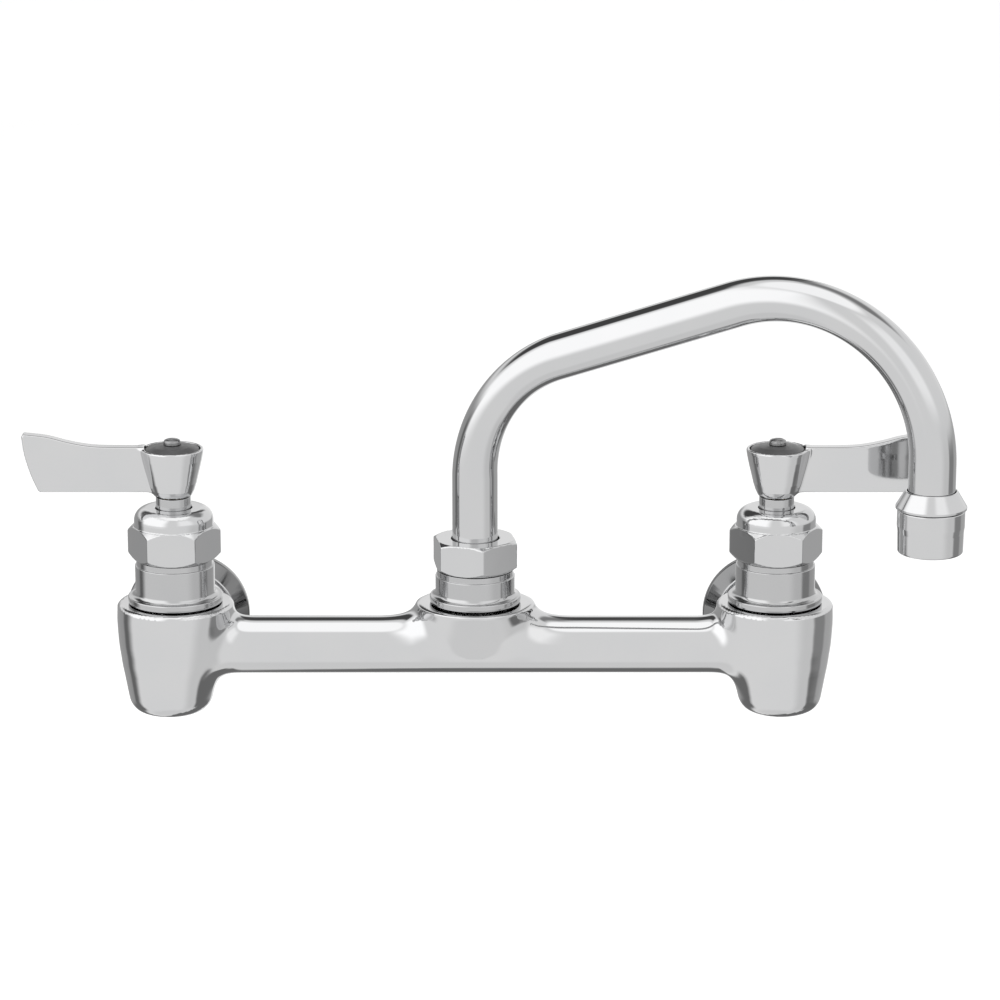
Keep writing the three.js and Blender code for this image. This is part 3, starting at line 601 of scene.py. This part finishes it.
def blade_side():
    """The blade's outline from the front: level heel, swept tip and rising top edge."""
    length, bottom, tip, heel = BLADE["length"], BLADE["bottom"], BLADE["tip_top"], BLADE["heel"]
    swept = smooth_line([(heel, bottom + 0.6), (47.6, bottom + 6), (49.6, bottom + 13),
                         (length, tip - 0.8)])
    top = smooth_line([(length - 0.5, tip), (42, tip - 0.9), (35, tip - 2.7), (28, tip - 4),
                       (20, tip - 4.4), (0, BLADE["root_top"])])
    return [(0, bottom), (heel - 0.7, bottom), *swept, *top]


BLADE_SECTION = blade_side()


def handle_field(x, y, z):
    """A lever handle's field, with the blade along +X."""
    r = np.hypot(x, y)
    hub = outline_distance(r, z, HUB_SECTION)
    thick = np.abs(y) - BLADE["half"]
    blade = blend_max(outline_distance(x, z, BLADE_SECTION), thick, HANDLE["blade_edge"])
    recess = outline_distance(r, z, RECESS_SECTION)
    socket = np.maximum(np.maximum(np.abs(x), np.abs(y)) - HANDLE["socket"], z - HANDLE["socket_top"])
    return blend_max(blend_min(hub, blade, HANDLE["blend"]), -np.minimum(recess, socket), HANDLE["edge"])


def lever_handle():
    """The hub and blade, with the spindle's square socket and the disc's recess."""
    return skin(handle_field, (-11, -11, 52), (51.6, 11, 74.6), 0.42)


def index_disc():
    """The dark disc in the hub's recess, with the screw's hole."""
    return lathe([(1.9, 65.6), (8.4, 65.6, 0.3), (9, 66.4, 0.3), (9.05, 68.6, 0.5), (6.4, 69.5, 4),
                  (3.5, 69.9, 1), (1.9, 69.9, 0.2), (1.9, 65.6)], 96)


def handle_screw():
    """A pan-head screw with a straight slot."""
    radius = SCREW["head"]
    outline = [(0, 58), (1.6, 58), (1.6, 70), (radius, 70), (radius, 71), (2.6, 71.6), (1.8, 71.9),
               (0, 72)]

    def field(x, y, z):
        slot = np.maximum(np.abs(y) - SCREW["slot_half"], SCREW["slot_floor"] - z)
        return blend_max(outline_distance(np.hypot(x, y), z, outline), -slot, 0.2)

    return skin(field, (-3.3, -3.3, 57.6), (3.3, 3.3, 73.1), 0.22)


# ---------------------------------------------------------------- cartridges, as far as they show


def cartridge_neck():
    """The cartridge: its barrel in the body, and the turned neck that shows over the bonnet nut."""
    return lathe([(7.8, -0.6), (10.1, -0.6, 0.3), (10.1, 35.5, 0.2), (11.5, 35.5, 0.2), (11.5, 37.7, 0.3),
                  (5.9, 37.7, 0.3), (5.9, 52.1, 0.2), (4.6, 52.1, 0.2), (4.6, 9.5, 0.2), (7.8, 9.5, 0.3),
                  (7.8, -0.6)], 96)


# ---------------------------------------------------------------- wall unions


def wall_flange():
    """The flanged inlet: a bevelled flange, a barrel, and the sleeve that the union nut holds."""
    radius, bore = FLANGE["radius"], INLET["bore"]
    return lathe([(9.6, 0), (radius, 0, 0.5), (radius, 3.2, 1.2), (17.1, 7.4, 0.8), (15, 7.5, 1.3),
                  (14.5, 13.4, 0.5), (9.3, 13.4, 0.2), (9.3, 16.7, 0.2), (11.3, 16.7, 0.2),
                  (11.3, 18.9, 0.3), (bore, 18.9, 0.3), (bore, 13.6, 0.2), (9.6, 12, 0.4), (9.6, 0)], 128)


def union_nut():
    """The nut that draws an inlet neck against its flange."""
    back, front, corner = UNION["back"], UNION["front"], UNION["corner"]
    limits = [(0, back), (16.9, back), (corner, back + 1.2), (corner, front - 1.2), (16.9, front),
              (0, front)]
    bore = [(0, 10), (9.6, 10), (9.6, 16.4), (11.8, 16.4), (11.8, 40), (0, 40)]

    def field(x, y, z):
        return nut_field(x, y, z, UNION, limits, bore, 0.5)

    return skin(field, (-19.2, -19.2, 13.2), (19.2, 19.2, 31.8), 0.5)


# ---------------------------------------------------------------- spout


def spout_line(spacing):
    """Stations on the tube's middle line, in its own XZ plane: x, z, heading and share of the bend."""
    tilt = math.radians(SPOUT["slope"])
    reach, riser, tip = SPOUT["reach"], SPOUT["riser_bend"], SPOUT["tip_bend"]
    tip_corner = SPOUT["corner"] + reach * math.tan(tilt)
    riser_turn, tip_turn = math.pi / 2 - tilt, math.pi / 2 + tilt
    riser_top = SPOUT["corner"] - riser * math.tan(riser_turn / 2)
    tip_top = tip_corner - tip * math.tan(tip_turn / 2)
    stations = []

    def straight(start, end, heading):
        count = max(2, round(math.dist(start, end) / spacing))
        for t in np.arange(count) / count:
            x, z = (a + (b - a) * t for a, b in zip(start, end))
            stations.append((x, z, heading, 0))

    def bend(centre, radius, start, turn):
        count = math.ceil(radius * turn / spacing)
        for share in np.arange(count) / count:
            heading = start - turn * share
            oval = 0.5 - 0.5 * math.cos(2 * math.pi * share)
            x, z = centre[0] - radius * math.sin(heading), centre[1] + radius * math.cos(heading)
            stations.append((x, z, heading, oval**0.5))

    slope_start = (riser - riser * math.sin(tilt), riser_top + riser * math.cos(tilt))
    slope_end = (reach - tip - tip * math.sin(tilt), tip_top + tip * math.cos(tilt))
    straight((0, TUBE["foot"]), (0, riser_top), math.pi / 2)
    bend((riser, riser_top), riser, math.pi / 2, riser_turn)
    straight(slope_start, slope_end, tilt)
    bend((reach - tip, tip_top), tip, tilt, tip_turn)
    straight((reach, tip_top), (reach, TUBE["tip"]), -math.pi / 2)
    stations.append((reach, TUBE["tip"], -math.pi / 2, 0))
    return stations


def spout_tube(corners=72, spacing=1.6):
    """The bent tube, with its bore; each bend flattens it in its own plane."""
    angles = np.arange(corners) * 2 * math.pi / corners
    points, normals = [], []
    line, outer = spout_line(spacing), TUBE["radius"]
    for radius, way, stations in ((outer, 1, line), (outer - TUBE["wall"], -1, line[::-1])):
        for x, z, heading, bend in stations:
            flat = 1 - FLATTEN * bend
            wide = 2 - flat
            up_x, up_z = -math.sin(heading), math.cos(heading)
            up, across = radius * flat * np.cos(angles), radius * wide * np.sin(angles)
            points.append(np.column_stack((x + up * up_x, across, z + up * up_z)))
            up, across = np.cos(angles) / flat, np.sin(angles) / wide
            normal = np.column_stack((up * up_x, across, up * up_z)) * way
            normals.append(normal / np.linalg.norm(normal, axis=1, keepdims=True))
    rings = [list(range(i * corners, (i + 1) * corners)) for i in range(len(points))]
    faces = [face[::-1] for low, high in zip(rings, [*rings[1:], rings[0]]) for face in band(low, high)]
    return np.vstack(points), faces, np.vstack(normals)


def aerator_adapter():
    """The cone on the tube's tip, and the thread that the shell screws on."""
    return lathe([(6.6, 55.5), (9.2, 55.5, 0.3), (9.2, 62.4, 0.2), (11.58, 62.4, 0.2), (11.58, 63.2, 0.5),
                  (8.5, 68.3, 0.4), (8.0, 68.3, 0.1), (8.0, 64.1, 0.1), (6.6, 64.1, 0.1), (6.6, 55.5)], 112)


def aerator_shell():
    """A cup with an open mouth, a little slimmer below."""
    low, top, radius = SHELL["bottom"], SHELL["top"], SHELL["radius"]
    return lathe([(8.2, low), (radius - 0.4, low, 0.8), (radius - 0.25, low + 7, 1), (radius, low + 9, 1),
                  (radius, top, 0.5), (9.5, top, 0.2), (9.5, low + 2.4, 0.2), (8.2, low + 2.4, 0.2),
                  (8.2, low)], 112)


def aerator_former():
    """The flow former under its fine screen."""
    low, top, bar_radius = SHELL["bottom"] + 2.7, FORMER["top"], FORMER["bar"]
    rim = lathe([(7.6, low), (9.2, low, 0.2), (9.2, top, 0.2), (7.6, top, 0.3), (7.6, low)], 72)
    hub = lathe([(0, low), (3, low, 0.4), (3, top, 0.4), (0, top)], 40)
    bars = []
    for k in range(-FORMER["bars"], FORMER["bars"] + 1):
        across = k * FORMER["pitch"]
        half = math.sqrt(FORMER["reach"] ** 2 - across**2)
        bar = moved(lathe([(0, -half), (bar_radius, -half, 0.1), (bar_radius, half, 0.1), (0, half)], 8),
                    (across, 0, low + 1), Matrix.Rotation(math.pi / 2, 3, "X"))
        bars.append(bar)
        bars.append(moved(bar, (0, 0, 0.5), turn_z(90)))
    return joined(rim, hub, *bars)


# ---------------------------------------------------------------- assembly


def add_valve(hand, side):
    """One valve: what is fixed to the body, then what turns with its handle."""
    at = (side * HALF, ROW_Y, BAR_Z)
    valve_collar = collar(BONNET["bottom"], 10.4, 8.3, COLLAR_FOOT["valve"])
    piece(f"{hand}_collar", moved(valve_collar, at), "satin_chrome", "faucet_body",
          f"{hand}_valve_collar", slot="chrome")
    piece(f"{hand}_bonnet", moved(bonnet_nut(), at), "chrome", "faucet_body", f"{hand}_bonnet_nut")
    piece(f"{hand}_cartridge", moved(cartridge_neck(), at), "satin_chrome", "faucet_body",
          f"{hand}_cartridge_body", slot="brass")
    turn = Matrix.Diagonal((side, 1, 1))
    body = f"{hand}_handle"
    piece(f"{hand}_lever", moved(lever_handle(), at, turn), "cast_chrome", body, f"{hand}_lever_handle")
    piece(f"{hand}_index", moved(index_disc(), at), "dark_plastic", body, f"{hand}_index_disc")
    piece(f"{hand}_screw", moved(handle_screw(), at, turn_z(SCREW["turn"] * side)), "steel", body,
          f"{hand}_handle_screw")


def add_union(hand, side):
    """The flange on the wall and the nut in front of it."""
    at = (side * HALF, 0, 0)
    piece(f"{hand}_flange", moved(wall_flange(), at, FROM_WALL), "flange_chrome", "faucet_body",
          f"{hand}_wall_flange", slot="chrome")
    piece(f"{hand}_union", moved(union_nut(), at, FROM_WALL), "chrome", "faucet_body",
          f"{hand}_union_nut")


def add_spout():
    """The spout's socket and nut on the body, then the tube and its aerator, which swing."""
    socket = collar(SPOUT_NUT["bottom"], 9.2, 5.3, COLLAR_FOOT["spout"])
    tube = moved(spout_tube(), SPOUT_AT, turn_z(-SPOUT["swing"]))
    piece("spout_socket", moved(socket, SPOUT_AT), "satin_chrome", "faucet_body", "spout_collar",
          slot="chrome")
    piece("spout_gland_nut", moved(spout_nut(), SPOUT_AT), "chrome", "faucet_body", "spout_nut")
    piece("swing_tube", tube, "tube_chrome", "spout", "spout_tube")
    piece("tip_adapter", moved(aerator_adapter(), TIP_AT), "turned_chrome", "spout", "aerator_adapter",
          slot="chrome")
    piece("tip_shell", moved(aerator_shell(), TIP_AT), "turned_chrome", "spout", "aerator_shell",
          slot="chrome")
    piece("tip_former", moved(aerator_former(), TIP_AT), "plastic", "spout", "aerator_insert")


# the finish of each kind of inner piece, whose CAD mesh stays; the first ending that fits counts
HIDDEN = {"o_ring": "rubber", "gasket": "rubber", "union_washer": "rubber", "washer": "plastic",
          "disc": "ceramic", "spindle": "brass", "ferrule": "brass"}


def finish_hidden():
    """Gives the CAD nodes that stay a finish of their own."""
    for name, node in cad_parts.items():
        if node.hide_render:
            continue
        finish = next((HIDDEN[kind] for kind in HIDDEN if name.endswith(kind)), "brass")
        node.data.materials.clear()
        node.data.materials.append(MATERIALS[finish])


piece("faucet_casting", body_casting(), "cast_chrome", "faucet_body", "body_casting")
for hand, side in SIDES.items():
    add_valve(hand, side)
    add_union(hand, side)
add_spout()
finish_hidden()

# ---------------------------------------------------------------- studio


def glow(name):
    """Shines by as much as the mesh's own tone says."""
    material = bpy.data.materials.new(name)
    material.use_nodes = True
    nodes, links = material.node_tree.nodes, material.node_tree.links
    nodes.remove(nodes["Principled BSDF"])
    tone = nodes.new("ShaderNodeAttribute")
    tone.attribute_name = "tone"
    emission = nodes.new("ShaderNodeEmission")
    links.new(tone.outputs["Fac"], emission.inputs["Strength"])
    links.new(emission.outputs["Emission"], nodes["Material Output"].inputs["Surface"])
    return material


def seen(nodes, links):
    """1 where the camera, a mirror or a clear piece looks, and 0 where light falls on a surface."""
    path = nodes.new("ShaderNodeLightPath")
    total = path.outputs["Is Camera Ray"]
    for ray in ("Is Glossy Ray", "Is Transmission Ray"):
        most = nodes.new("ShaderNodeMath")
        most.operation = "MAXIMUM"
        links.new(total, most.inputs[0])
        links.new(path.outputs[ray], most.inputs[1])
        total = most.outputs[0]
    return total


FLOOR_Z = -0.30
FLOOR_GLOW = 0.5  # what the floor is seen to shine by, so that it goes white and keeps its shadow
ROOM_LIGHT = 0.55  # the world's light on the object; where it is seen it is white
AIM = Vector((8.4, ROW_Y, 54.7)) * MM
CAMERA = {"distance": 1.3, "elevation": 15, "lens": 138.95, "sensor": 36}
STUDIO = [  # what the metal mirrors: name, azimuths, elevations, tone against a white room, soft edge
    ("floor", (-180, 180), (-95, -62), 0.9, 12),
    ("top softbox", (-180, 180), (66, 95), 1.5, 8),
    ("left softbox", (-108, -24), (-2, 62), 1.6, 24),
    ("right softbox", (16, 60), (10, 56), 1.3, 20),
    ("left wall", (-176, -95), (-50, 12), 0.42, 14),
    ("left flag", (-118, -103), (-50, 4), 0.18, 8),
    ("right shade", (48, 120), (-60, 0), 0.82, 30),
    ("right wall", (81, 156), (-40, -2), 0.52, 9),
    ("right flag", (81, 112), (-44, -6), 0.32, 9),
    ("low right flag", (84, 156), (-50, -30), 0.2, 8),
    ("low left flag", (-172, -102), (-50, -30), 0.2, 8),
    ("back flag", (166, 240), (24, 54), 0.08, 10),
    ("side flag", (112, 172), (38, 60), 0.3, 14),
    ("floor flag", (100, 194), (-84, -44), 0.2, 10),
]


def studio_tone(azimuth, elevation):
    """How bright the studio is that way. Azimuth 0 is towards the camera, and grows to its right."""
    tone = np.ones(np.shape(azimuth))
    for _, (left, right), (low, high), level, edge in STUDIO:
        off = np.abs((azimuth - (left + right) / 2 + 180) % 360 - 180)
        across = 1 if right - left >= 360 else smooth(((right - left) / 2 - off) / edge + 0.5)
        upright = smooth((elevation - low) / edge + 0.5) * smooth((high - elevation) / edge + 0.5)
        tone += (level - tone) * across * upright
    return tone


def add_surround(radius=3.0, step=2.5):
    """A dome of soft boxes and dark flags round the object, which only reflections see."""
    azimuth, elevation = np.meshgrid(np.arange(-180, 180, step), np.arange(-90, 90.1, step))
    turn, rise = np.radians(azimuth.ravel()), np.radians(elevation.ravel())
    points = np.column_stack((np.sin(turn) * np.cos(rise), -np.cos(turn) * np.cos(rise), np.sin(rise)))
    rings = np.arange(azimuth.size).reshape(azimuth.shape)
    faces = [face for low, high in zip(rings, rings[1:]) for face in band(low.tolist(), high.tolist())]
    mesh = bpy.data.meshes.new("surround")
    mesh.from_pydata((points * radius + np.array(AIM)).tolist(), [], faces)
    tone = mesh.attributes.new("tone", "FLOAT", "POINT")
    tone.data.foreach_set("value", studio_tone(azimuth, elevation).ravel())
    mesh.materials.append(glow("surround_glow"))
    surround = bpy.data.objects.new("surround", mesh)
    bpy.context.scene.collection.objects.link(surround)
    surround.visible_camera = False
    surround.visible_diffuse = False
    surround.visible_shadow = False
    surround.visible_transmission = False


def lamp(name, at, size, radiance):
    """A soft rectangular lamp, whose face is that bright and isn't mirrored."""
    light = bpy.data.lights.new(name, "AREA")
    light.shape = "RECTANGLE"
    light.size, light.size_y = size
    light.energy = radiance * math.pi * size[0] * size[1]
    obj = bpy.data.objects.new(name, light)
    obj.location = at
    obj.rotation_euler = (AIM - Vector(at)).to_track_quat("-Z", "Y").to_euler()
    obj.visible_glossy = False
    bpy.context.scene.collection.objects.link(obj)


def add_floor():
    """A pale floor under the object. Reflections see the surround's own floor instead."""
    mesh = bpy.data.meshes.new("floor")
    mesh.from_pydata([(-6, -6, 0), (6, -6, 0), (6, 6, 0), (-6, 6, 0)], [], [(0, 1, 2, 3)])
    floor = bpy.data.objects.new("floor", mesh)
    floor.location.z = FLOOR_Z
    material = bpy.data.materials.new("pale_floor")
    material.use_nodes = True
    nodes, links = material.node_tree.nodes, material.node_tree.links
    shader = nodes["Principled BSDF"]
    shader.inputs["Base Color"].default_value = (0.86, 0.86, 0.86, 1)
    shader.inputs["Roughness"].default_value = 0.9
    shader.inputs["Emission Color"].default_value = (1, 1, 1, 1)
    level = nodes.new("ShaderNodeMath")
    level.operation = "MULTIPLY"
    level.inputs[1].default_value = FLOOR_GLOW
    links.new(seen(nodes, links), level.inputs[0])
    links.new(level.outputs[0], shader.inputs["Emission Strength"])
    mesh.materials.append(material)
    bpy.context.scene.collection.objects.link(floor)
    floor.visible_glossy = False


def add_world():
    """White to the camera, to mirrors and to transmission, and softer as a light."""
    world = bpy.data.worlds.new("studio")
    bpy.context.scene.world = world
    world.use_nodes = True
    nodes, links = world.node_tree.nodes, world.node_tree.links
    background = nodes["Background"]
    background.inputs["Color"].default_value = (1, 1, 1, 1)
    level = nodes.new("ShaderNodeMapRange")
    level.inputs["To Min"].default_value = ROOM_LIGHT
    level.inputs["To Max"].default_value = 1.0
    links.new(seen(nodes, links), level.inputs["Value"])
    links.new(level.outputs["Result"], background.inputs["Strength"])


add_floor()
add_world()
add_surround()
lamp("key", (0, 0.15, 1.15), (1.2, 1.1), 1.5)
lamp("fill_left", (-1.3, -0.9, 0.75), (0.35, 0.7), 1.4)
lamp("fill_right", (1.2, -1.2, 0.8), (0.3, 0.6), 1.4)

# ---------------------------------------------------------------- camera

rise = math.radians(CAMERA["elevation"])
camera = bpy.data.objects.new("camera", bpy.data.cameras.new("camera"))
camera.data.sensor_width = CAMERA["sensor"]
camera.data.lens = CAMERA["lens"]
camera.data.clip_start = 0.05
camera.data.clip_end = 50
camera.location = AIM + CAMERA["distance"] * Vector((0, -math.cos(rise), math.sin(rise)))
camera.rotation_euler = (math.pi / 2 - rise, 0, 0)
bpy.context.scene.collection.objects.link(camera)
bpy.context.scene.camera = camera

bpy.context.scene.view_settings.view_transform = "Standard"
